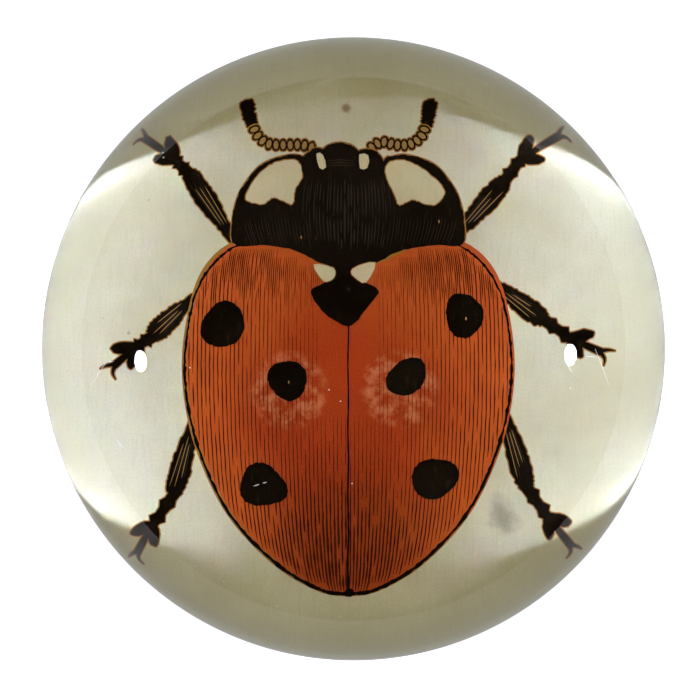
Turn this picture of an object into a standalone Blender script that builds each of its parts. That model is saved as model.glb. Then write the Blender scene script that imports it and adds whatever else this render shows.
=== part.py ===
"""A domed glass paperweight over a printed paper disc, backed with felt. Metres, +Z up, origin under its centre."""

import math

import bmesh
import bpy

# Driving dimensions
glass_diameter = 0.080
dome_rise = 0.032  # from the widest circle of the glass up to its crown
shoulder_height = 0.006  # from the flat underside of the glass up to its widest circle
ground_edge = 0.0005  # the small flat ground round the underside
paper_thickness = 0.0003
felt_thickness = 0.0015
paper_margin = 0.0006  # how far the paper stays inside the flat underside
felt_margin = 0.0004
felt_edge = 0.0003  # the felt's softened edges
seat_gap = 0.0003  # clearance between pieces that lie on each other

# How finely the turned shapes are divided
turn_steps = 80
dome_rings = 32  # from the crown down to the widest circle
undercut_rings = 4  # from the widest circle down to the ground edge

# Worked out from the driving dimensions
glass_radius = glass_diameter / 2
base_radius = glass_radius * math.sqrt(1 - (shoulder_height / dome_rise) ** 2)
paper_radius = base_radius - paper_margin
felt_radius = base_radius - felt_margin
paper_bottom = felt_thickness + seat_gap
glass_bottom = paper_bottom + paper_thickness + seat_gap


def clear_scene():
    for obj in list(bpy.data.objects):
        bpy.data.objects.remove(obj, do_unlink=True)


def make_material(name, colour, roughness, transmission=0.0, ior=1.5):
    material = bpy.data.materials.new(name)
    material.use_nodes = True
    shader = material.node_tree.nodes["Principled BSDF"]
    shader.inputs["Base Color"].default_value = (*colour, 1.0)
    shader.inputs["Roughness"].default_value = roughness
    shader.inputs["Metallic"].default_value = 0.0
    shader.inputs["Transmission Weight"].default_value = transmission
    shader.inputs["IOR"].default_value = ior
    return material


def turned(name, profile, material):
    """A closed solid turned round the Z axis from (radius, height) points that run from the axis back to it."""
    shape = bmesh.new()
    points = [shape.verts.new((radius, 0.0, height)) for radius, height in profile]
    edges = [shape.edges.new(pair) for pair in zip(points, points[1:])]
    bmesh.ops.spin(
        shape,
        geom=points + edges,
        cent=(0.0, 0.0, 0.0),
        axis=(0.0, 0.0, 1.0),
        angle=math.tau,
        steps=turn_steps,
    )
    bmesh.ops.remove_doubles(shape, verts=shape.verts, dist=1e-6)
    bmesh.ops.recalc_face_normals(shape, faces=shape.faces)
    mesh = bpy.data.meshes.new(name)
    shape.to_mesh(mesh)
    shape.free()
    mesh.shade_smooth()
    mesh.set_sharp_from_angle(angle=math.radians(30))
    mesh.materials.append(material)
    obj = bpy.data.objects.new(name, mesh)
    bpy.context.scene.collection.objects.link(obj)
    return obj


def dome_profile():
    """Crown, flattened dome, widest circle, undercut, ground edge and flat underside."""
    middle = glass_bottom + shoulder_height
    lowest_angle = -math.asin((shoulder_height - ground_edge) / dome_rise)
    angles = [math.pi / 2 * (1 - ring / dome_rings) for ring in range(1, dome_rings + 1)]
    angles += [lowest_angle * ring / undercut_rings for ring in range(1, undercut_rings + 1)]
    points = [(0.0, middle + dome_rise)]
    for angle in angles:
        points.append((glass_radius * math.cos(angle), middle + dome_rise * math.sin(angle)))
    points.append((base_radius - ground_edge, glass_bottom))
    points.append((0.0, glass_bottom))
    return points


def disc_profile(radius, bottom, thickness, edge=0.0):
    """A flat disc, with its top and bottom edges cut back by edge."""
    top = bottom + thickness
    points = [(0.0, top), (radius - edge, top)]
    if edge > 0:
        points.append((radius, top - edge))
        points.append((radius, bottom + edge))
    points.append((radius - edge, bottom))
    points.append((0.0, bottom))
    return points


def main():
    clear_scene()
    glass = make_material("clear_glass", (1.0, 1.0, 1.0), 0.0, transmission=1.0, ior=1.5)
    paper = make_material("aged_paper", (0.62, 0.58, 0.43), 0.85)
    felt = make_material("dark_felt", (0.05, 0.10, 0.06), 0.95)
    turned("glass_dome", dome_profile(), glass)
    turned("printed_paper", disc_profile(paper_radius, paper_bottom, paper_thickness), paper)
    turned("felt_backing", disc_profile(felt_radius, 0.0, felt_thickness, felt_edge), felt)


main()
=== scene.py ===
"""The looks of a domed glass paperweight over a printed beetle picture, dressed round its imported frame."""

import math
import random

import bmesh
import bpy
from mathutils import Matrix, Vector
from mathutils.geometry import delaunay_2d_cdt


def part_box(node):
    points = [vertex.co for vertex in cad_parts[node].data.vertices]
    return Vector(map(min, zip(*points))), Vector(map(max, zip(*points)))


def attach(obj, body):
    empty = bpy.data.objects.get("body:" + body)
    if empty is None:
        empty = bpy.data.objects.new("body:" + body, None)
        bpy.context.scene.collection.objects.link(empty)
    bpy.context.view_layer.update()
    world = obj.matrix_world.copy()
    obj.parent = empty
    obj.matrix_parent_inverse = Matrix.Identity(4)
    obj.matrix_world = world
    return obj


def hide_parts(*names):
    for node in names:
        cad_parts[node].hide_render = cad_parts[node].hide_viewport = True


MM = 0.001

# The camera looks straight down, and the frame is taken as 700 pixels wide
FRAME_PIXELS = 700
DOME_CENTRE_PIXEL = (353.4, 348.8)
DOME_RADIUS_PIXELS = 311.7
CAMERA_DISTANCE = 0.70  # from the widest circle of the glass
SENSOR_WIDTH = 36.0

# A round key lamp stands low on either side, with a small catch light over it that only the glass mirrors.
# Each has its azimuth and height in degrees, and its power.
LAMP_DISTANCE = 0.50
LAMP_DIAMETER = 0.048
LAMP_TINT = (1.0, 1.07, 1.56)
KEY_LAMPS = {"left": (183.3, 14.6, 1.78), "right": (-1.6, 14.2, 1.70)}
CATCH_LIGHTS = {"left": (183.3, 20.0, 0.3), "right": (-1.6, 18.2, 0.3)}
SKY_OVERHEAD = 0.38
SKY_HORIZON = 0.60
SKY_FADE_HEIGHT = 0.14  # how high over the horizon the sky's pale band reaches, as a sine
SKY_TINT = (1.0, 0.91, 0.70)
FLOOR_SIZE = 20.0
FLOOR_GREY = 0.8
FLOOR_GLOW = 0.66
CARD_RADIUS = 0.112  # the grey card round the object is what the glass mirrors
CARD_SIDES = 96
CARD_GLOW = 0.48
CARD_HEIGHT = -0.1 * MM

# Optical glass
GLASS_IOR = 1.5
SHARP_ANGLE = 20.0  # steeper steps than this, in degrees, stay sharp edges
SCRATCH_WIDTH = 0.07 * MM
# painted glint: the scratches and specks are real, and their pale colour stands for the light they catch
SCRATCH_GLINT_TONE = (0.9, 0.9, 0.88)
SCRATCHES = [  # the ends of fine scratches on the glass, in pixels of the frame
    ((97, 385), (113, 362)), ((113, 362), (121, 361)), ((577, 356), (591, 357)), ((588, 349), (602, 384)),
    ((560, 364), (565, 372)), ((123, 437), (129, 445)), ((257, 481), (263, 479)), ((266, 478), (270, 477)),
]
SPECK_SIZE = 0.17 * MM
SPECKS = [  # specks on the glass, painted pale as glints, in pixels of the frame
    (168, 162), (167, 157), (495, 537), (563, 387), (168, 529), (199, 561), (227, 576), (279, 600),
    (341, 610), (341, 399), (330, 388), (196, 367), (352, 478),
]
GLASS_STEPS = 320
DOME_RINGS = 150
UNDERCUT_RINGS = 12
GROUND_EDGE = 0.5 * MM
OPTICAL_SEAT = 0.02 * MM  # how far the paper's face lies inside the clear glass

FELT_EDGE = 0.45 * MM  # the radius of its rounded edge
FELT_EDGE_STEPS = 6
FELT_STEPS = 160

WELD_DISTANCE = 1e-7  # corners closer than this become one

# The print, in millimetres on the paper, +Y towards the beetle's head. The outlines below follow the
# photograph: their points were placed from measured places, and count from the beetle's own axis.
SHEET_STEPS = 256
PRINT_WELD = 1e-5  # outline points closer than this become one
ALL_TRIANGLES = 0  # the sheet's division leaves none out
RANDOM_SEED = 7
BEETLE_AXIS = -0.5  # the pictured beetle stands this far from the dome's axis
HALO = 0.12  # the brown-yellow bleeding round the ink
WASH_HALO = 0.22
WASH_SLIP = (0.24, 0.10)  # the colour was laid a little off the outline

# How far a hand-cut outline strays from a steady line
STRAY = {
    "shin": 0.085, "ankle": 0.05, "foot pad": 0.06, "club": 0.10, "bead": 0.03,
    "dark edge": 0.05, "suture": 0.015, "wing tip": 0.1, "spot": 0.06,
    "shield": 0.055, "patch": 0.04, "patch colour": 0.02, "shield tip": 0.05, "wedge": 0.03,
    "head": 0.05, "window": 0.04,
}

# Hatching of the wing cases
HATCH_PITCH = 0.395
HATCH_LINES = 39  # on each wing case, with a finer line between each two
HATCH_STEP = 0.8
HATCH_TOP = 9.6
HATCH_LOWEST = -23.5
FINE_HATCH_LOWEST = (3.5, 6.0)  # the finer lines stop between these
HATCH_BEND = 0.22  # 0 keeps the lines upright, 1 bends them like the outline
HATCH_WANDER = 0.022
HATCH_BREAKS = 0.07  # the chance that a line breaks at a step
FAINTEST_HATCH = 0.06
HATCH_WIDTH = 0.04
HATCH_SWELL = 0.10  # how much wider a line is where the hatching is at its darkest
HATCH_UNEVEN = (0.5, 1.2)
CLEAR_OF_EDGE = 0.3
CLEAR_OF_BASE = 0.25

# Outlines of the wing cases
OUTLINE_WIDTH = 0.32
OUTLINE_START = 10.6  # the dark edge begins this far out along the shoulder
OUTLINE_INSET = 0.06
SHOULDER_LOW = 5.0
SHOULDER_LEAN = 0.12  # above the shoulder's low end the dark edge leans in by this share of the height
SUTURE_TOP = 7.5
SUTURE_STEP = 0.5
SUTURE_POINTS = 62
SUTURE_WAVE = 0.03
SUTURE_WIDTH = 0.13
SUTURE_SWELL = 0.07
WING_TIP = (0.1, -23.3, 0.5, 0.45)  # x, y, half width, half height of the dark point below the suture

# Legs and antennae
HIP_UNDER_BODY = 1.3  # how far a leg goes on beneath the body's outline
SHIN_HALF_WIDTHS = [  # share of the way, half width
    (0.0, 0.38), (0.2, 0.50), (0.4, 0.78), (0.6, 0.97), (0.78, 1.0), (0.93, 0.86), (1.0, 0.60),
]
ANKLE_HALF_WIDTHS = [
    (-0.2, 0.62), (0.12, 0.56), (0.26, 0.82), (0.40, 0.52),
    (0.60, 0.50), (0.76, 0.80), (0.88, 0.50), (1.15, 0.44),
]
FOOT_PADS = [(0.62, 2.1, 0.60), (-0.60, 1.9, 0.56)]  # turn from the claws' stalk, length, half width
CLAW_WIDTH = 0.46
NEAR_CLAW = (1.25, 0.65)  # how far it reaches along and aside
FAR_CLAW = (0.75, 1.15)
SHIN_STREAK_WIDTH = 0.06
STREAK_START = (0.24, 0.42)  # a streak starts and ends between these shares of the shin
STREAK_END = (0.70, 0.92)
STREAK_FLARE = 1.6  # streaks lie this much further apart at the foot
BEADS = 10  # on an antenna's stalk
BEAD = (0.40, 0.60)  # half length and half width
BEAD_FILL = (0.24, 0.42)
CLUB_WIDTH = 1.0
CLUB_SWELL = 0.55

# Pale streaks of the neck shield
SHIELD_STREAKS = 62
SHIELD_STREAK_PITCH = 0.30
SHIELD_STREAKS_LEFT = -9.0
SHIELD_STREAK_WANDER = 0.06
SHIELD_BROAD = 4.0  # streaks are broad and tall within this distance of the middle
SHIELD_STREAK_TOP = (16.4, 13.0)  # in the middle, and at the sides
SHIELD_STREAK_LOW = 9.4
MOUTH_LINES = (17.5, 17.75, 18.0)
PATCH_RIM = 0.10
WEDGE_RIM = 0.07

# The inks, in the order of the sheet's material slots
PAPER, FRINGE, CREAM, WASH, HATCH, INK, WORN, OCHRE = range(8)

WING_CASE_EDGE = [
    (0.0, 7.4), (3.4, 8.4), (7.6, 10.3), (11.3, 9.9), (14.1, 6.9), (15.5, 1.4), (15.6, -4.0),
    (14.3, -9.8), (11.4, -15.8), (7.0, -20.5), (2.8, -23.0), (0.0, -23.5),
]
WING_CASE_BASE = WING_CASE_EDGE[:5]
WIDEST_HALF = 15.65  # half of the wing cases' width
SPOTS = [  # x, y, half width, half height, tilt in degrees, how far it bulges to three sides
    (-12.0, 2.3, 2.0, 2.3, -35, 0.05),
    (-5.8, -3.0, 1.85, 1.95, 40, 0.06),
    (-8.2, -13.1, 2.3, 2.0, -20, 0.09),
    (11.1, 3.2, 1.8, 2.15, 10, 0.05),
    (5.6, -2.7, 1.6, 2.15, -52, 0.04),
    (8.3, -12.4, 2.3, 1.9, 18, 0.05),
]
INK_GAPS = [(-5.7, -3.2), (11.3, 2.9), (-4.5, 10.7), (8.7, 12.2)]  # small faults in the black
INK_GAP = (0.07, 0.17)  # half width and half height
NECK_SHIELD_HALF = [
    (0.0, 7.7), (2.6, 8.2), (5.0, 9.4), (8.0, 9.9), (10.9, 10.0), (11.1, 12.3), (10.6, 14.5),
    (9.9, 15.8), (8.6, 17.4), (7.1, 18.2), (5.3, 18.6), (4.2, 18.4), (3.6, 18.3), (2.7, 17.2), (0.0, 16.9),
]
LEFT_PATCH = [
    (-9.9, 14.5), (-9.4, 14.0), (-8.1, 13.8), (-7.2, 14.4), (-6.3, 14.1), (-5.3, 13.8),
    (-5.0, 15.2), (-4.3, 16.6), (-4.8, 18.0), (-6.3, 18.1), (-7.9, 17.4), (-9.2, 16.0),
]
RIGHT_PATCH = [
    (9.3, 14.9), (8.5, 13.8), (7.4, 13.8), (6.1, 14.2), (4.9, 13.7), (4.3, 14.9),
    (3.5, 16.7), (3.9, 17.9), (5.5, 18.1), (7.3, 17.2), (8.8, 15.9),
]
HEAD = [
    (-2.7, 16.8), (1.1, 16.8), (1.2, 18.3), (0.9, 19.0), (0.3, 19.5), (-0.8, 19.75),
    (-1.9, 19.5), (-2.5, 19.0), (-2.8, 18.3),
]
LEFT_EYE = [
    (-4.3, 16.8), (-2.4, 16.8), (-2.2, 18.4), (-2.4, 19.1), (-3.2, 19.2), (-3.8, 18.8), (-4.3, 18.3),
]
RIGHT_EYE = [
    (1.0, 16.8), (3.3, 16.8), (3.4, 17.9), (2.9, 18.7), (2.2, 19.1), (1.1, 19.0), (0.8, 18.3),
]
HEAD_WINDOWS = [  # the two pale oblongs between head and eyes
    [(-2.75, 17.3), (-2.15, 17.4), (-2.4, 18.6), (-3.05, 18.65)],
    [(1.15, 17.3), (1.85, 17.3), (1.95, 18.55), (1.1, 18.6)],
]
SHIELD_TIP = [
    (-1.4, 8.4), (-1.3, 7.0), (-2.4, 6.3), (-3.6, 5.6), (-3.1, 4.4), (-1.9, 3.1), (-0.2, 2.2),
    (0.8, 2.6), (1.8, 3.9), (2.9, 5.3), (2.6, 5.9), (1.6, 6.4), (0.4, 7.0), (0.4, 8.4),
]
LEFT_WEDGE = [(-3.3, 8.1), (-2.4, 6.5), (-1.4, 6.8), (-1.4, 7.7)]
RIGHT_WEDGE = [(0.4, 7.7), (0.6, 6.9), (1.7, 6.4), (2.6, 8.3)]
LEGS = {  # hip, end of the shin, start of the foot, start of the claws
    "left front": [(-11.3, 10.9), (-15.3, 16.9), (-16.5, 18.1), (-19.6, 20.3)],
    "left middle": [(-15.6, 4.2), (-18.9, 1.1), (-20.3, 0.2), (-22.4, -1.6)],
    "left hind": [(-15.0, -7.6), (-16.7, -13.9), (-18.7, -16.8), (-20.4, -19.7)],
    "right front": [(10.5, 11.0), (15.1, 16.2), (16.6, 18.2), (20.4, 20.6)],
    "right middle": [(14.6, 5.8), (18.8, 2.7), (21.2, 1.0), (24.2, -0.3)],
    "right hind": [(15.0, -6.3), (17.1, -13.3), (19.1, -16.1), (21.5, -19.0)],
}
SHIN_STREAKS = [(-0.36, OCHRE), (-0.2, WORN), (-0.06, OCHRE), (0.08, WORN), (0.2, OCHRE), (0.34, WORN)]
FEELERS = {  # the stalk's line, then the club's line
    "left": ([(-3.2, 19.2), (-4.4, 19.5), (-6.0, 19.5), (-7.6, 19.6), (-8.6, 20.3), (-9.1, 21.3)],
             [(-9.1, 21.2), (-9.5, 22.4), (-9.7, 23.9)]),
    "right": ([(2.0, 19.1), (3.2, 19.8), (4.6, 19.5), (6.0, 19.6), (7.0, 20.3), (7.4, 21.3)],
              [(7.4, 21.2), (7.7, 22.4), (7.9, 23.9)]),
}


def linear(red, green, blue):
    """A colour given as it looks on a screen, 0 to 255, as linear light."""
    shares = (channel / 255 for channel in (red, green, blue))
    return tuple(c / 12.92 if c <= 0.04045 else ((c + 0.055) / 1.055) ** 2.4 for c in shares)


# Colours
PAPER_LIGHT = linear(221, 219, 184)
PAPER_DARK = linear(190, 184, 138)
# painted shade: the colour the paper greys to at its rim
PAPER_RIM_SHADE = linear(166, 162, 124)
CREAM_LIGHT = linear(222, 210, 164)
WASH_ORANGE = linear(198, 89, 36)
WASH_RED = linear(172, 58, 26)
WASH_BRIGHT = linear(208, 101, 46)
WASH_DEEP = linear(132, 44, 18)
# painted reflection: pale mottled patches round the two middle spots
REFLECTION_TONE = linear(222, 148, 92)
REFLECTION_PLACES = [(-6.2, -4.0), (4.4, -3.8)]
REFLECTION_REACH = (4.1, 3.0)  # the painted reflection begins at the first distance and is full at the second
RED_MIDDLE = -6.0  # height of the wash's reddest place
RED_REACH = (9.0, 20.0)
RED_RAGGED = 9.0
DEEP_MIDDLE = -18.0  # height of its darkest place
DEEP_REACH = (9.5, 3.0)
FAINT_HATCH_REACH = (13.0, 4.0)  # the hatching is paler towards the middle
# painted shade: the paper darkens towards its rim between these distances from the middle, in millimetres
PAPER_RIM_SHADE_REACH = (23.0, 35.0)
INK_BLACK = linear(22, 16, 10)
INK_THIN = linear(46, 38, 28)
HATCH_DARK = linear(68, 28, 14)
HATCH_FAINT = linear(142, 58, 26)
HALO_BROWN = linear(160, 112, 44)
WORN_GREY = linear(47, 41, 35)
OCHRE_FILL = linear(160, 126, 66)
INK_FLECKS = linear(120, 92, 52)
PAPER_SPECKS = linear(120, 100, 66)
FELT_DARK = linear(24, 34, 27)
FELT_LIGHT = linear(52, 66, 55)
PAPER_MARKS = [  # x, y, size in millimetres, strength, colour
    (-0.7, 23.0, 0.50, 0.70, linear(124, 82, 32)),
    (14.4, -16.2, 1.6, 0.55, linear(112, 102, 66)),
    (-17.0, -10.8, 0.25, 0.6, linear(120, 104, 76)),
    (13.8, -14.4, 0.9, 0.25, linear(120, 116, 100)),
    (-21.5, 1.5, 0.2, 0.5, linear(120, 104, 76)),
]
MARK_OUTER = 1.9  # a mark fades between these shares of its size
MARK_CORE = 0.9
MARK_RAGGED = 1.4


# Curves and outlines

def between(before, start, end, after, t):
    """A point on the Catmull-Rom curve from start to end."""
    return 0.5 * (
        2 * start
        + (end - before) * t
        + (2 * before - 5 * start + 4 * end - after) * t * t
        + (3 * start - before - 3 * end + after) * t ** 3
    )


def smooth_loop(points, steps=4):
    """A closed curve through the points."""
    count = len(points)
    curve = []
    for i in range(count):
        before, start, end, after = (Vector(points[(i + k - 1) % count]) for k in range(4))
        curve += [between(before, start, end, after, step / steps) for step in range(steps)]
    return curve


def smooth_line(points, steps=8):
    """An open curve through the points."""
    padded = [points[0], *points, points[-1]]
    curve = []
    for i in range(len(points) - 1):
        before, start, end, after = (Vector(p) for p in padded[i:i + 4])
        curve += [between(before, start, end, after, step / steps) for step in range(steps)]
    curve.append(Vector(points[-1]))
    return curve


def stroke(line, width):
    """The outline of a pen stroke along a line. Its width may be a function of the share of the way."""
    widths = width if callable(width) else lambda share: width
    left, right = [], []
    last = len(line) - 1
    for i, point in enumerate(line):
        along = line[min(i + 1, last)] - line[max(i - 1, 0)]
        side = Vector((-along.y, along.x)).normalized() * widths(i / last) / 2
        left.append(point + side)
        right.append(point - side)
    return left + right[::-1]


def tapered(width, start=0.2, end=0.2):
    """A stroke width that narrows to these shares of itself at the ends."""
    def at(share):
        return width * min(1.0, start + 4 * share, end + 4 * (1 - share))
    return at


def ellipse(x, y, half_width, half_height, tilt=0.0, steps=24):
    turn = math.radians(tilt)
    ring = []
    for k in range(steps):
        a = math.tau * k / steps
        u, v = half_width * math.cos(a), half_height * math.sin(a)
        across_turned = u * math.cos(turn) - v * math.sin(turn)
        up_turned = u * math.sin(turn) + v * math.cos(turn)
        ring.append(Vector((x + across_turned, y + up_turned)))
    return ring


def rough(points, amount, rng):
    """The same outline, cut by a less steady hand."""
    return [p + Vector((rng.uniform(-amount, amount), rng.uniform(-amount, amount))) for p in points]


def anticlockwise(points):
    """The outline in the sense that the division of the sheet asks for."""
    pairs = zip(points, points[1:] + points[:1])
    area = sum(p.x * q.y - q.x * p.y for p, q in pairs)
    return points if area > 0 else points[::-1]


def share_of(value, start, end):
    """How far the value has come from start to end, held between 0 and 1."""
    return min(1.0, max(0.0, (value - start) / (end - start)))


def grown(points, amount):
    """The outline moved outwards by the amount."""
    ring = anticlockwise(points)
    count = len(ring)
    moved = []
    for i, point in enumerate(ring):
        along = ring[(i + 1) % count] - ring[i - 1]
        if along.length > 0:
            moved.append(point + Vector((along.y, -along.x)).normalized() * amount)
    return moved


def mirrored(points):
    """The points on the other side of the beetle's axis."""
    return [Vector((-p[0], p[1])) for p in points]


def crossing(points, value, axis):
    """The largest other coordinate at which the line of points passes a value on the axis, or None."""
    found = None
    for p, q in zip(points, points[1:]):
        low, high = sorted((p[axis], q[axis]))
        if low <= value <= high and high > low:
            share = (value - p[axis]) / (q[axis] - p[axis])
            other = p[1 - axis] + share * (q[1 - axis] - p[1 - axis])
            found = other if found is None else max(found, other)
    return found


# The beetle, drawn from below upwards: each layer is (ink, outline)

def draw_leg(layers, joints, rng):
    hip, shin_end, foot, claw = (Vector(p) for p in joints)
    side = math.copysign(1.0, hip.x)
    hip += (hip - shin_end).normalized() * HIP_UNDER_BODY
    shapes = [shin(hip, shin_end, rng), ankle(shin_end, foot, rng)]
    shapes += foot_pads(foot, claw, side, rng)
    shapes += claws(foot, claw, side)
    for shape in shapes:
        layers.append((FRINGE, grown(shape, HALO)))
    for shape in shapes:
        layers.append((INK, shape))
    for offset, tone in SHIN_STREAKS:
        start = hip.lerp(shin_end, rng.uniform(*STREAK_START)) + across(hip, shin_end) * offset
        end = hip.lerp(shin_end, rng.uniform(*STREAK_END)) + across(hip, shin_end) * offset * STREAK_FLARE
        line = smooth_line([start, start.lerp(end, 0.5), end], 3)
        layers.append((tone, stroke(line, tapered(SHIN_STREAK_WIDTH))))


def across(start, end):
    """The direction to the left of the way from start to end."""
    along = end - start
    return Vector((-along.y, along.x)).normalized()


def shin(hip, end, rng):
    """A blade that widens towards the foot, with a notched edge."""
    aside = across(hip, end)
    left = [hip.lerp(end, t) + aside * half for t, half in SHIN_HALF_WIDTHS]
    right = [hip.lerp(end, t) - aside * half for t, half in SHIN_HALF_WIDTHS]
    edge = smooth_line(left, 5) + smooth_line(right, 5)[::-1]
    return rough(edge, STRAY["shin"], rng)


def ankle(start, end, rng):
    """The narrow joint between shin and foot, with short spurs."""
    aside = across(start, end)
    left = [start.lerp(end, t) + aside * half for t, half in ANKLE_HALF_WIDTHS]
    right = [start.lerp(end, t + 0.1) - aside * half * 0.9 for t, half in ANKLE_HALF_WIDTHS]
    return rough(left + right[::-1], STRAY["ankle"], rng)


def foot_pads(foot, claw, side, rng):
    """The two broad pads of the foot, spread to either side of the claws' stalk."""
    along = (claw - foot).normalized()
    shapes = []
    for spread, length, half in FOOT_PADS:
        turn = spread * side
        direction = Vector((
            along.x * math.cos(turn) - along.y * math.sin(turn),
            along.x * math.sin(turn) + along.y * math.cos(turn),
        ))
        middle = foot + direction * length * 0.5
        tilt = math.degrees(math.atan2(direction.y, direction.x))
        pad = ellipse(middle.x, middle.y, length * 0.66, half, tilt, 20)
        shapes.append(rough(pad, STRAY["foot pad"], rng))
    return shapes


def claws(foot, claw, side):
    """The stalk between the pads and its two curved claws."""
    along = (claw - foot).normalized()
    aside = across(foot, claw)
    start = foot.lerp(claw, 0.1)
    stalk = stroke([start, foot.lerp(claw, 0.55), claw], lambda share: 0.55 + 0.22 * share)
    shapes = [stalk]
    for way in (1, -1):
        bend = claw + along * 0.55 + aside * way * 0.45
        reach, spread = NEAR_CLAW if way * side > 0 else FAR_CLAW
        tip = claw + along * reach + aside * way * spread
        line = smooth_line([claw - along * 0.2, bend, tip], 4)
        shapes.append(stroke(line, lambda share: CLAW_WIDTH * (1.08 - share)))
    return shapes


def draw_feeler(layers, stalk, club, rng):
    """A beaded antenna with a dark club."""
    def club_width(share):
        rounded_end = math.sqrt(max(0.12, 1 - max(0.0, share - 0.8) * 4.6))
        return (CLUB_WIDTH + CLUB_SWELL * share) * rounded_end

    outline = rough(stroke(smooth_line(club, 10), club_width), STRAY["club"], rng)
    layers.append((FRINGE, grown(outline, HALO)))
    layers.append((INK, outline))
    beads = evenly(smooth_line(stalk, 8), BEADS)
    outlines = [
        rough(ellipse(place.x, place.y, *BEAD, direction, 14), STRAY["bead"], rng)
        for place, direction in beads
    ]
    for outline in outlines:
        layers.append((FRINGE, grown(outline, HALO)))
    for (place, direction), outline in zip(beads, outlines):
        layers.append((INK, outline))
        layers.append((OCHRE, ellipse(place.x, place.y, *BEAD_FILL, direction, 10)))


def evenly(line, count):
    """(place, direction in degrees) of evenly spaced points along the line."""
    lengths = [(q - p).length for p, q in zip(line, line[1:])]
    pitch = sum(lengths) / count
    found, passed = [], 0.0
    for p, q, length in zip(line, line[1:], lengths):
        while len(found) < count and (len(found) + 0.5) * pitch <= passed + length:
            share = ((len(found) + 0.5) * pitch - passed) / length
            found.append((p.lerp(q, share), math.degrees(math.atan2(q.y - p.y, q.x - p.x))))
        passed += length
    return found


def draw_wing_cases(layers, rng):
    right = smooth_line(WING_CASE_EDGE)
    whole = right + mirrored(right)[::-1][1:-1]
    layers.append((FRINGE, grown(whole, WASH_HALO)))
    layers.append((WASH, [p + Vector(WASH_SLIP) for p in whole]))
    for side in (1, -1):
        for number in range(HATCH_LINES):
            draw_hatch_line(layers, side, (number + 0.6) * HATCH_PITCH, HATCH_LOWEST, right, rng)
            lowest = rng.uniform(*FINE_HATCH_LOWEST)
            draw_hatch_line(layers, side, (number + 1.1) * HATCH_PITCH, lowest, right, rng)
    for side in (1, -1):
        edge = stroke(dark_edge(side), scalloped(rng))
        layers.append((INK, rough(edge, STRAY["dark edge"], rng)))
    heights = (SUTURE_TOP - SUTURE_STEP * k for k in range(SUTURE_POINTS))
    suture = [Vector((SUTURE_WAVE * math.sin(y), y)) for y in heights]
    outline = stroke(suture, lambda share: SUTURE_WIDTH + SUTURE_SWELL * share)
    layers.append((INK, rough(outline, STRAY["suture"], rng)))
    layers.append((INK, rough(ellipse(*WING_TIP, steps=12), STRAY["wing tip"], rng)))


def dark_edge(side):
    """The line of a wing case's dark edge, from the shoulder down."""
    line = []
    for p in smooth_line(WING_CASE_EDGE, 18):
        if p.x > OUTLINE_START or p.y < 0:
            lean = SHOULDER_LEAN * max(0.0, p.y - SHOULDER_LOW)
            line.append(Vector((side * (p.x - OUTLINE_INSET - lean), p.y)))
    return line


def scalloped(rng):
    """An outline width that swells and breaks as a hand-cut line does."""
    def at(share):
        swell = 0.5 + 0.5 * math.sin(share * 150.0) * math.sin(share * 61.0)
        return OUTLINE_WIDTH * (0.45 + 0.5 * swell * swell + 0.55 * share + rng.uniform(-0.2, 0.2))
    return at


def hatch_weight(side, x, y):
    """How dark the hatching is.

    It is heavy at the sides and low down, more so on the left, and there is none on the crown.
    """
    clear_of_crown = share_of(x, 2.0, 7.0)
    sides = clear_of_crown * (0.42 + 0.38 * share_of(x, 7.5, 13.5) + 0.20 * share_of(y, 3.0, 8.0))
    low = (0.95 if side < 0 else 0.75) * share_of(-y, 5.0, 17.0)
    deepest = 0.8 * share_of(-y, 12.0, 18.0) * share_of(x, 8.0, 2.0)
    return max(sides, low) + deepest


def draw_hatch_line(layers, side, place, lowest, edge, rng):
    """One line of the hatching: it follows the side of the wing case, and breaks at random."""
    run = []
    steps = int((HATCH_TOP - lowest) / HATCH_STEP)
    for step in range(steps + 1):
        y = HATCH_TOP - step * HATCH_STEP
        half_width = crossing(edge, y, axis=1)
        if half_width is None:
            continue
        bend = (half_width / WIDEST_HALF) ** HATCH_BEND
        x = place * bend + rng.uniform(-HATCH_WANDER, HATCH_WANDER)
        base = crossing(WING_CASE_BASE, x, axis=0)
        inside = x < half_width - CLEAR_OF_EDGE and (base is None or y < base - CLEAR_OF_BASE)
        if inside:
            run.append(Vector((side * x, y)))
        broken = rng.random() < HATCH_BREAKS or hatch_weight(side, x, y) < FAINTEST_HATCH
        if not inside or broken:
            add_dash(layers, side, run, rng)
            run = []
    add_dash(layers, side, run, rng)


def add_dash(layers, side, run, rng):
    """One unbroken piece of a hatching line, wider where the hatching is darker."""
    if len(run) < 2:
        return
    widths = [
        HATCH_WIDTH + HATCH_SWELL * hatch_weight(side, abs(p.x), p.y) * rng.uniform(*HATCH_UNEVEN)
        for p in run
    ]
    widths[0] *= 0.4
    widths[-1] *= 0.4
    last = len(run) - 1
    layers.append((HATCH, stroke(run, lambda share: widths[round(share * last)])))


def draw_spots(layers, rng):
    for x, y, half_width, half_height, tilt, bulge in SPOTS:
        middle = Vector((x, y))
        ring = ellipse(x, y, half_width, half_height, tilt, 44)
        sides = (1 + bulge * math.cos(3 * math.tau * k / len(ring)) for k in range(len(ring)))
        outline = [middle + (p - middle) * out for p, out in zip(ring, sides)]
        layers.append((INK, rough(outline, STRAY["spot"], rng)))


def draw_ink_gaps(layers):
    for x, y in INK_GAPS:
        layers.append((OCHRE, ellipse(x, y, *INK_GAP, steps=6)))


def neck_shield():
    """The outline of the shield behind the head."""
    half = [Vector(p) for p in NECK_SHIELD_HALF]
    return smooth_loop(half + mirrored(half)[::-1][1:-1], 8)


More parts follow.
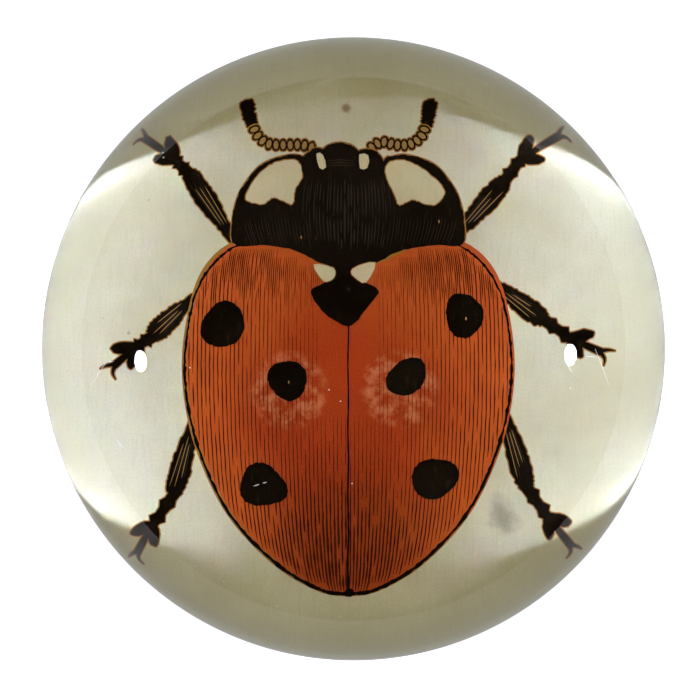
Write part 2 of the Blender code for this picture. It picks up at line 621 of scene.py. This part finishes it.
def draw_neck_shield(layers, rng):
    layers.append((INK, rough(neck_shield(), STRAY["shield"], rng)))
    for number in range(SHIELD_STREAKS):
        wander = rng.uniform(-SHIELD_STREAK_WANDER, SHIELD_STREAK_WANDER)
        x = SHIELD_STREAKS_LEFT + number * SHIELD_STREAK_PITCH + wander
        draw_shield_streaks(layers, x, rng)
    for patch in (LEFT_PATCH, RIGHT_PATCH):
        outline = rough(smooth_loop(patch, 8), STRAY["patch"], rng)
        layers.append((FRINGE, outline))
        layers.append((CREAM, rough(grown(outline, -PATCH_RIM), STRAY["patch colour"], rng)))


def draw_shield_streaks(layers, x, rng):
    """Broken pale streaks down the shield: broader in the middle, fine at the sides."""
    middle = max(0.0, 1 - abs(x + 0.3) / SHIELD_BROAD)
    middle_top, side_top = SHIELD_STREAK_TOP
    y = (middle_top if abs(x) < SHIELD_BROAD else side_top) - rng.uniform(0.0, 0.8)
    low = SHIELD_STREAK_LOW + rng.uniform(0.0, 1.0)
    while y > low + 0.6:
        length = rng.uniform(1.5, 4.5)
        end = max(low, y - length)
        heights = [y + (end - y) * k / 4 for k in range(5)]
        bows = (1 + 0.12 * math.sin((h - SHIELD_STREAK_LOW) * 0.42) for h in heights)
        line = [Vector((x * bow, h)) for bow, h in zip(bows, heights)]
        width = 0.05 + 0.12 * middle * rng.uniform(0.3, 1.2)
        layers.append((WORN, stroke(line, tapered(width))))
        y = end - rng.uniform(0.1, 1.1 - 0.8 * middle)


def draw_shield_tip(layers, rng):
    layers.append((INK, rough(smooth_loop(SHIELD_TIP, 4), STRAY["shield tip"], rng)))
    for wedge in (LEFT_WEDGE, RIGHT_WEDGE):
        outline = rough(smooth_loop(wedge, 3), STRAY["wedge"], rng)
        layers.append((FRINGE, grown(outline, WEDGE_RIM)))
        layers.append((CREAM, outline))


def draw_front_halo(layers):
    """The bleeding round shield and head, drawn first so that it shows on the bare paper only."""
    for outline in (neck_shield(), smooth_loop(HEAD), smooth_loop(LEFT_EYE), smooth_loop(RIGHT_EYE)):
        layers.append((FRINGE, grown(outline, HALO)))


def draw_head(layers, rng):
    for outline in (LEFT_EYE, RIGHT_EYE, HEAD):
        layers.append((INK, rough(smooth_loop(outline, 6), STRAY["head"], rng)))
    for corners in HEAD_WINDOWS:
        layers.append((CREAM, rough(smooth_loop(corners, 2), STRAY["window"], rng)))
    for height in MOUTH_LINES:
        mouth = [Vector((-2.1, height)), Vector((-0.8, height + 0.1)), Vector((0.6, height))]
        layers.append((WORN, stroke(mouth, tapered(0.12))))


def picture_layers():
    """The whole print as a list of (ink, outline), the lowest layer first."""
    rng = random.Random(RANDOM_SEED)
    layers = []
    for joints in LEGS.values():
        draw_leg(layers, joints, rng)
    for stalk, club in FEELERS.values():
        draw_feeler(layers, stalk, club, rng)
    draw_front_halo(layers)
    draw_wing_cases(layers, rng)
    draw_spots(layers, rng)
    draw_neck_shield(layers, rng)
    draw_head(layers, rng)
    draw_shield_tip(layers, rng)
    draw_ink_gaps(layers)
    aside = Vector((BEETLE_AXIS, 0.0))
    return [(ink, [p + aside for p in anticlockwise(outline)]) for ink, outline in layers]


# Shapes

def sheet_mesh(name, radius, bottom, top, layers):
    """A flat disc whose face is divided along the picture's outlines, so that each ink is flush with it."""
    turns = (math.tau * k / SHEET_STEPS for k in range(SHEET_STEPS))
    rim = [Vector((math.cos(a), math.sin(a))) * radius / MM for a in turns]
    points, faces, inks = list(rim), [list(range(SHEET_STEPS))], [PAPER]
    for ink, outline in layers:
        start = len(points)
        points.extend(outline)
        faces.append(list(range(start, len(points))))
        inks.append(ink)
    divided = delaunay_2d_cdt(points, [], faces, ALL_TRIANGLES, PRINT_WELD, True)
    places, _, triangles, _, _, sources = divided
    shape = bmesh.new()
    verts = [shape.verts.new((p.x * MM, p.y * MM, top)) for p in places]
    for corners, origin in zip(triangles, sources):
        if origin:  # the outlines that cover this triangle, of which the last gives the ink
            face = shape.faces.new([verts[c] for c in corners])
            face.material_index = inks[max(origin)]
    edge = [e for e in shape.edges if e.is_boundary]
    made = bmesh.ops.extrude_edge_only(shape, edges=edge)["geom"]
    for vert in (g for g in made if isinstance(g, bmesh.types.BMVert)):
        vert.co.z = bottom
    low_edges = [g for g in made if isinstance(g, bmesh.types.BMEdge) and g.is_boundary]
    bmesh.ops.contextual_create(shape, geom=low_edges)
    bmesh.ops.recalc_face_normals(shape, faces=shape.faces)
    return finished(name, shape)


def finished(name, shape, smooth=False):
    """The shape as an object in the scene."""
    mesh = bpy.data.meshes.new(name)
    shape.to_mesh(mesh)
    shape.free()
    if smooth:
        mesh.shade_smooth()
    obj = bpy.data.objects.new(name, mesh)
    bpy.context.scene.collection.objects.link(obj)
    return obj


def turned(name, profile, steps):
    """A closed shape turned round the Z axis from (radius, height) points, from the axis back to it."""
    shape = bmesh.new()
    points = [shape.verts.new((radius, 0.0, height)) for radius, height in profile]
    edges = [shape.edges.new(pair) for pair in zip(points, points[1:])]
    bmesh.ops.spin(shape, geom=points + edges, cent=(0, 0, 0), axis=(0, 0, 1), angle=math.tau, steps=steps)
    bmesh.ops.remove_doubles(shape, verts=shape.verts, dist=WELD_DISTANCE)
    bmesh.ops.recalc_face_normals(shape, faces=shape.faces)
    return finished(name, shape, smooth=True)


def widest(node):
    """(radius, height) of the widest circle of a turned CAD node."""
    far = max(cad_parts[node].data.vertices, key=lambda v: v.co.x)
    return far.co.x, far.co.z


def stands_for(piece, node):
    """The piece is shown in place of the CAD's node."""
    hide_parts(node)
    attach(piece, "root")


def make_glass():
    """The glass, finer than the CAD's, down to the paper's face so that no gap shows."""
    low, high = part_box("glass_dome")
    radius, middle = widest("glass_dome")
    rise = high.z - middle
    drop = middle - low.z
    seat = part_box("printed_paper")[1].z - OPTICAL_SEAT
    base_radius = radius * math.sqrt(1 - (drop / rise) ** 2)
    lowest = -math.asin((drop - GROUND_EDGE) / rise)
    angles = [math.pi / 2 * (1 - ring / DOME_RINGS) for ring in range(1, DOME_RINGS + 1)]
    angles += [lowest * ring / UNDERCUT_RINGS for ring in range(1, UNDERCUT_RINGS + 1)]
    profile = [(0.0, high.z)]
    profile += [(radius * math.cos(a), middle + rise * math.sin(a)) for a in angles]
    profile += [(base_radius - GROUND_EDGE, low.z), (base_radius - GROUND_EDGE, seat), (0.0, seat)]
    glass = turned("clear_dome", profile, GLASS_STEPS)
    glass.data.set_sharp_from_angle(angle=math.radians(SHARP_ANGLE))
    glass.data.materials.append(glass_look())
    stands_for(glass, "glass_dome")


def make_scratches():
    """Fine scratches and specks that lie on the dome, each a sliver across the glass, painted pale to stand
    for the glints they catch.
    """
    radius, middle = widest("glass_dome")
    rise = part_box("glass_dome")[1].z - middle
    shape = bmesh.new()
    for ends in SCRATCHES:
        start, end = (on_dome(x, y, radius, rise, middle) for x, y in ends)
        add_sliver(shape, start, end, SCRATCH_WIDTH)
    for x, y in SPECKS:
        place = on_dome(x, y, radius, rise, middle)
        half = Vector((SPECK_SIZE / 2, 0.0, 0.0))
        add_sliver(shape, place - half, place + half, SPECK_SIZE)
    scratches = finished("hairline_scratches", shape)
    scratches.data.materials.append(new_look("scratch_painted_glint", SCRATCH_GLINT_TONE, 0.6)[0])
    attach(scratches, "root")


def on_dome(pixel_x, pixel_y, radius, rise, middle):
    """The place on the dome that the camera sees at a pixel."""
    across = (pixel_x - DOME_CENTRE_PIXEL[0]) / DOME_RADIUS_PIXELS
    up = (DOME_CENTRE_PIXEL[1] - pixel_y) / DOME_RADIUS_PIXELS
    return Vector((across * radius, up * radius, middle + rise * math.sqrt(1 - across * across - up * up)))


def add_sliver(shape, start, end, width):
    """A closed sliver, widest in its middle, that stands a hair above the glass."""
    along = (end - start).normalized()
    outward = start.normalized()
    aside = along.cross(outward).normalized() * width / 2
    middle = (start + end) / 2
    ring = [start, middle + aside, end, middle - aside]
    low = [shape.verts.new(p - outward * SCRATCH_WIDTH / 4) for p in ring]
    high = [shape.verts.new(p + outward * SCRATCH_WIDTH / 2) for p in ring]
    shape.faces.new(low[::-1])
    shape.faces.new(high)
    for i in range(4):
        shape.faces.new((low[i], low[(i + 1) % 4], high[(i + 1) % 4], high[i]))
    bmesh.ops.recalc_face_normals(shape, faces=shape.faces)


def make_sheet():
    """The paper with its print. The looks stand in the order of the inks."""
    low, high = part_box("printed_paper")
    sheet = sheet_mesh("print_on_paper", high.x, low.z, high.z, picture_layers())
    looks = (paper_look, fringe_look, cream_look, wash_look, hatch_look, ink_look, worn_look, ochre_look)
    for look in looks:
        sheet.data.materials.append(look())
    stands_for(sheet, "printed_paper")


def make_felt():
    """The felt with softly rounded edges, thick enough to meet the paper."""
    low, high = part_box("felt_backing")
    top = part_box("printed_paper")[0].z
    radius = high.x
    edge = FELT_EDGE
    profile = [(0.0, top)]
    for k in range(FELT_EDGE_STEPS + 1):
        a = math.pi / 2 * (1 - k / FELT_EDGE_STEPS)
        profile.append((radius - edge + edge * math.cos(a), top - edge + edge * math.sin(a)))
    for k in range(FELT_EDGE_STEPS + 1):
        a = -math.pi / 2 * k / FELT_EDGE_STEPS
        profile.append((radius - edge + edge * math.cos(a), low.z + edge + edge * math.sin(a)))
    profile.append((0.0, low.z))
    felt = turned("felt_pad", profile, FELT_STEPS)
    felt.data.materials.append(felt_look())
    stands_for(felt, "felt_backing")


# Materials

def new_look(name, colour, roughness, specular=0.5):
    """A plain material and its shader."""
    look = bpy.data.materials.new(name)
    look.use_nodes = True
    shader = look.node_tree.nodes["Principled BSDF"]
    shader.inputs["Base Color"].default_value = (*colour, 1.0)
    shader.inputs["Roughness"].default_value = roughness
    shader.inputs["Specular IOR Level"].default_value = specular
    return look, shader


def print_look(name, colour):
    """The print is sealed against the glass, so it has no gloss of its own."""
    return new_look(name, colour, 1.0, specular=0.0)


class Pattern:
    """Small helpers that lay nodes for one material."""

    def __init__(self, look):
        self.tree = look.node_tree
        self.place = self.tree.nodes.new("ShaderNodeTexCoord").outputs["Object"]

    def node(self, kind, **settings):
        made = self.tree.nodes.new(kind)
        for key, value in settings.items():
            setattr(made, key, value)
        return made

    def link(self, source, target):
        if isinstance(source, (int, float)):
            target.default_value = source
        elif isinstance(source, tuple):
            target.default_value = (*source, 1.0)
        else:
            self.tree.links.new(source, target)

    def moved(self, scale, shift=(0.0, 0.0, 0.0)):
        """The place in millimetres, stretched by the scale and then shifted."""
        mapping = self.node("ShaderNodeMapping")
        self.link(self.place, mapping.inputs["Vector"])
        mapping.inputs["Scale"].default_value = [s / MM for s in scale]
        mapping.inputs["Location"].default_value = shift
        return mapping.outputs["Vector"]

    def noise(self, scale, detail, shift=(0.0, 0.0, 0.0), roughness=0.55):
        """Noise from 0 to 1. The scale is in patches per millimetre, along each axis."""
        made = self.node("ShaderNodeTexNoise")
        made.inputs["Scale"].default_value = 1.0
        made.inputs["Detail"].default_value = detail
        made.inputs["Roughness"].default_value = roughness
        self.link(self.moved(scale, shift), made.inputs["Vector"])
        return made.outputs["Fac"]

    def patches(self, scale, start, end, detail=3.0, shift=(0.0, 0.0, 0.0), roughness=0.55):
        """Soft patches of 0 to 1: none where the noise is below start, full where it is above end."""
        return self.ramp(self.noise(scale, detail, shift, roughness), start, end)

    def ramp(self, value, start, end, low=0.0, high=1.0):
        """The value eased from low at start to high at end."""
        made = self.node("ShaderNodeMapRange", interpolation_type="SMOOTHSTEP")
        self.link(value, made.inputs["Value"])
        for name, number in (("From Min", start), ("From Max", end), ("To Min", low), ("To Max", high)):
            made.inputs[name].default_value = number
        return made.outputs["Result"]

    def maths(self, operation, first, second):
        made = self.node("ShaderNodeMath", operation=operation)
        self.link(first, made.inputs[0])
        self.link(second, made.inputs[1])
        return made.outputs[0]

    def away(self, x, y):
        """Distance in millimetres from a point on the paper."""
        flat = self.moved((1.0, 1.0, 0.0))
        made = self.node("ShaderNodeVectorMath", operation="DISTANCE")
        self.link(flat, made.inputs[0])
        made.inputs[1].default_value = (x, y, 0.0)
        return made.outputs["Value"]

    def tinted(self, colour, tone, share, strength):
        """The colour with the tone laid over it, where the share is 1 by as much as the strength."""
        return self.mix(self.maths("MULTIPLY", share, strength), colour, tone)

    def mix(self, share, first, second):
        made = self.node("ShaderNodeMix", data_type="RGBA")
        self.link(share, made.inputs["Factor"])
        self.link(first, made.inputs["A"])
        self.link(second, made.inputs["B"])
        return made.outputs["Result"]


def patterned(look, shader):
    """A pattern for the look, and the call that sets its colour."""
    pattern = Pattern(look)
    return pattern, lambda colour: pattern.link(colour, shader.inputs["Base Color"])


def glass_look():
    look, shader = new_look("clear_glass", (1.0, 1.0, 1.0), 0.0)
    shader.inputs["Transmission Weight"].default_value = 1.0
    shader.inputs["IOR"].default_value = GLASS_IOR
    return look


def aged(pattern, light, dark):
    """Paper with broad stains, faint upright fibres and a few brown specks."""
    stains = pattern.patches((0.06, 0.06, 0.0), 0.35, 0.70, detail=4.0)
    fibres = pattern.patches((3.2, 0.35, 0.0), 0.45, 0.75)
    grain = pattern.patches((5.0, 5.0, 0.0), 0.40, 0.72, detail=4.0, shift=(3.0, 1.0, 0.0))
    specks = pattern.patches((1.1, 1.1, 0.0), 0.735, 0.80, detail=2.0, shift=(9.0, 4.0, 0.0))
    colour = pattern.tinted(light, dark, stains, strength=0.55)
    colour = pattern.tinted(colour, dark, fibres, strength=0.22)
    colour = pattern.tinted(colour, dark, grain, strength=0.30)
    return pattern.tinted(colour, PAPER_SPECKS, specks, strength=0.5)


def paper_look():
    """Bare paper with painted shade that greys it towards its edge, and a few single marks that have ragged
    outlines.
    """
    look, shader = print_look("aged_paper", PAPER_LIGHT)
    pattern, set_colour = patterned(look, shader)
    colour = aged(pattern, PAPER_LIGHT, PAPER_DARK)
    # painted shade that darkens the paper towards its rim
    edge = pattern.ramp(pattern.away(0.0, 0.0), *PAPER_RIM_SHADE_REACH)
    colour = pattern.mix(edge, colour, PAPER_RIM_SHADE)
    ragged = pattern.noise((0.5, 0.5, 0.0), detail=4.0, shift=(5.0, 2.0, 0.0))
    for x, y, size, strength, tone in PAPER_MARKS:
        stray = pattern.maths("MULTIPLY", ragged, size * MARK_RAGGED)
        reach = pattern.maths("ADD", pattern.away(x, y), stray)
        spot = pattern.ramp(reach, size * MARK_OUTER, size * MARK_CORE)
        colour = pattern.tinted(colour, tone, spot, strength)
    set_colour(colour)
    return look


def cream_look():
    look, shader = print_look("cream", CREAM_LIGHT)
    pattern, set_colour = patterned(look, shader)
    set_colour(aged(pattern, CREAM_LIGHT, PAPER_DARK))
    return look


def wash_look():
    """Hand-laid orange colour: redder along the middle, paler at the sides, with a painted reflection that
    pales it in two places.
    """
    look, shader = print_look("orange_wash", WASH_ORANGE)
    pattern, set_colour = patterned(look, shader)
    from_middle = pattern.away(BEETLE_AXIS, RED_MIDDLE)
    broad = pattern.noise((0.09, 0.09, 0.0), detail=3.0, shift=(2.0, 7.0, 0.0))
    reach = pattern.maths("ADD", from_middle, pattern.maths("MULTIPLY", broad, RED_RAGGED))
    low = pattern.ramp(pattern.away(BEETLE_AXIS, DEEP_MIDDLE), *DEEP_REACH, high=0.6)
    brushed = pattern.patches((1.3, 0.30, 0.0), 0.42, 0.78, detail=4.0)
    grain = pattern.patches((6.0, 6.0, 0.0), 0.42, 0.72, shift=(1.0, 8.0, 0.0))
    reflection_mottle = pattern.patches((0.8, 0.8, 0.0), 0.40, 0.66, detail=4.0, shift=(4.0, 4.0, 0.0), roughness=0.6)
    colour = pattern.mix(pattern.ramp(reach, *RED_REACH), WASH_RED, WASH_ORANGE)
    colour = pattern.mix(low, colour, WASH_DEEP)
    colour = pattern.tinted(colour, WASH_RED, brushed, strength=0.35)
    colour = pattern.tinted(colour, WASH_BRIGHT, grain, strength=0.22)
    # painted reflection: pale mottled patches laid over the wash round the two middle spots
    for x, y in REFLECTION_PLACES:
        near = pattern.ramp(pattern.away(x, y), *REFLECTION_REACH)
        painted_reflection = pattern.maths("MULTIPLY", near, reflection_mottle)
        colour = pattern.tinted(colour, REFLECTION_TONE, painted_reflection, strength=0.5)
    set_colour(colour)
    return look


def ink_look():
    """Printer's black, with brownish flecks where the paper shows through."""
    look, shader = print_look("black_ink", INK_BLACK)
    pattern, set_colour = patterned(look, shader)
    thin = pattern.patches((1.6, 0.5, 0.0), 0.55, 0.80, detail=4.0, shift=(6.0, 6.0, 0.0))
    flecks = pattern.patches((4.5, 4.5, 0.0), 0.70, 0.78, detail=2.0, shift=(8.0, 3.0, 0.0))
    colour = pattern.tinted(INK_BLACK, INK_THIN, thin, strength=0.5)
    set_colour(pattern.tinted(colour, INK_FLECKS, flecks, strength=0.35))
    return look


def fringe_look():
    return print_look("brown_halo", HALO_BROWN)[0]


def hatch_look():
    """Hatching that prints dark in some places and faint in others."""
    look, shader = print_look("hatching", HATCH_DARK)
    pattern, set_colour = patterned(look, shader)
    patchy = pattern.patches((1.4, 0.6, 0.0), 0.42, 0.66, detail=4.0, shift=(2.0, 5.0, 0.0))
    paler = pattern.ramp(pattern.away(BEETLE_AXIS, 0.0), *FAINT_HATCH_REACH, low=0.25)
    set_colour(pattern.tinted(HATCH_DARK, HATCH_FAINT, patchy, paler))
    return look


def worn_look():
    return print_look("worn_ink", WORN_GREY)[0]


def ochre_look():
    return print_look("ochre_fill", OCHRE_FILL)[0]


def felt_look():
    look, shader = new_look("dark_felt", FELT_DARK, 0.95)
    pattern, set_colour = patterned(look, shader)
    tufts = pattern.patches((2.4, 2.4, 2.4), 0.35, 0.70, detail=5.0)
    set_colour(pattern.mix(tufts, FELT_DARK, FELT_LIGHT))
    shader.inputs["Sheen Weight"].default_value = 0.3
    shader.inputs["Sheen Roughness"].default_value = 0.6
    return look


# Stage

def make_floor():
    """A pale floor, and a grey card just below it. The glass mirrors the card and not the floor."""
    bpy.ops.mesh.primitive_plane_add(size=FLOOR_SIZE)
    floor = bpy.context.object
    floor.name = "floor"
    floor.data.materials.append(glowing("pale_floor", FLOOR_GREY, FLOOR_GLOW))
    floor.visible_glossy = False
    bpy.ops.mesh.primitive_circle_add(
        vertices=CARD_SIDES, radius=CARD_RADIUS, fill_type="NGON", location=(0, 0, CARD_HEIGHT),
    )
    card = bpy.context.object
    card.name = "mirrored_card"
    card.data.materials.append(glowing("grey_card", 0.0, CARD_GLOW))
    card.visible_camera = False
    card.visible_diffuse = False
    card.visible_transmission = False
    card.visible_shadow = False


def glowing(name, grey, glow):
    look, shader = new_look(name, (grey, grey, grey), 0.9, specular=0.0)
    shader.inputs["Emission Color"].default_value = (1.0, 1.0, 1.0, 1.0)
    shader.inputs["Emission Strength"].default_value = glow
    return look


def make_sky():
    """A soft room, paler at the horizon than overhead, which isn't mirrored in the glass."""
    world = bpy.data.worlds.new("soft_room")
    bpy.context.scene.world = world
    world.use_nodes = True
    world.cycles_visibility.glossy = False
    nodes, links = world.node_tree.nodes, world.node_tree.links
    background = nodes["Background"]
    background.inputs["Color"].default_value = (*SKY_TINT, 1.0)
    direction = nodes.new("ShaderNodeTexCoord")
    parts = nodes.new("ShaderNodeSeparateXYZ")
    height = nodes.new("ShaderNodeMapRange")
    height.interpolation_type = "SMOOTHSTEP"
    links.new(direction.outputs["Generated"], parts.inputs["Vector"])
    links.new(parts.outputs["Z"], height.inputs["Value"])
    height.inputs["From Min"].default_value = 0.0
    height.inputs["From Max"].default_value = SKY_FADE_HEIGHT
    height.inputs["To Min"].default_value = SKY_HORIZON
    height.inputs["To Max"].default_value = SKY_OVERHEAD
    links.new(height.outputs["Result"], background.inputs["Strength"])


def make_lamps():
    """Key lamps that the glass doesn't mirror, and catch lights that show as highlights only."""
    for side, (azimuth, height, power) in KEY_LAMPS.items():
        key = lamp_at(side + "_key", azimuth, height, power)
        key.visible_glossy = False
    for side, (azimuth, height, power) in CATCH_LIGHTS.items():
        catch = lamp_at(side + "_catch", azimuth, height, power)
        catch.visible_diffuse = False
        catch.visible_transmission = False


def lamp_at(name, azimuth, height, power):
    """A disc lamp that faces the paperweight."""
    data = bpy.data.lights.new(name, "AREA")
    data.shape = "DISK"
    data.size = LAMP_DIAMETER
    data.energy = power
    data.color = LAMP_TINT
    lamp = bpy.data.objects.new(name, data)
    bpy.context.scene.collection.objects.link(lamp)
    a, h = math.radians(azimuth), math.radians(height)
    direction = Vector((math.cos(a) * math.cos(h), math.sin(a) * math.cos(h), math.sin(h)))
    lamp.location = direction * LAMP_DISTANCE
    lamp.rotation_euler = lamp.location.to_track_quat("Z", "Y").to_euler()
    return lamp


def make_camera():
    """Straight above the dome, so that its outline has the photograph's place and size."""
    radius, middle = widest("glass_dome")
    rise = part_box("glass_dome")[1].z - middle
    seen_radius = radius / math.sqrt(1 - (rise / CAMERA_DISTANCE) ** 2)
    pixel = seen_radius / DOME_RADIUS_PIXELS
    data = bpy.data.cameras.new("camera")
    data.sensor_width = SENSOR_WIDTH
    data.lens = SENSOR_WIDTH * CAMERA_DISTANCE / (pixel * FRAME_PIXELS)
    camera = bpy.data.objects.new("camera", data)
    bpy.context.scene.collection.objects.link(camera)
    aside = (FRAME_PIXELS / 2 - DOME_CENTRE_PIXEL[0]) * pixel
    down = (DOME_CENTRE_PIXEL[1] - FRAME_PIXELS / 2) * pixel
    camera.location = (aside, down, middle + CAMERA_DISTANCE)
    bpy.context.scene.camera = camera


def set_light_paths():
    """Keep the sharp light that the dome gathers on the paper, and show colours without a film look."""
    bpy.context.scene.cycles.blur_glossy = 0.0
    bpy.context.scene.cycles.sample_clamp_indirect = 0.0
    bpy.context.scene.view_settings.view_transform = "Standard"


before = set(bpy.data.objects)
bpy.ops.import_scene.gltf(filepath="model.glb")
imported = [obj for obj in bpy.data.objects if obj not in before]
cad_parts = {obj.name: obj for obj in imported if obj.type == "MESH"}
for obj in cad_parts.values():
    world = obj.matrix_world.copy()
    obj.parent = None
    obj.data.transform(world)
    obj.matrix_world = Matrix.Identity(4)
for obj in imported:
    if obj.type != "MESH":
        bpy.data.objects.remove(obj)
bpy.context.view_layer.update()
make_camera()
make_floor()
make_sky()
make_lamps()
make_glass()
make_scratches()
make_sheet()
make_felt()
set_light_paths()
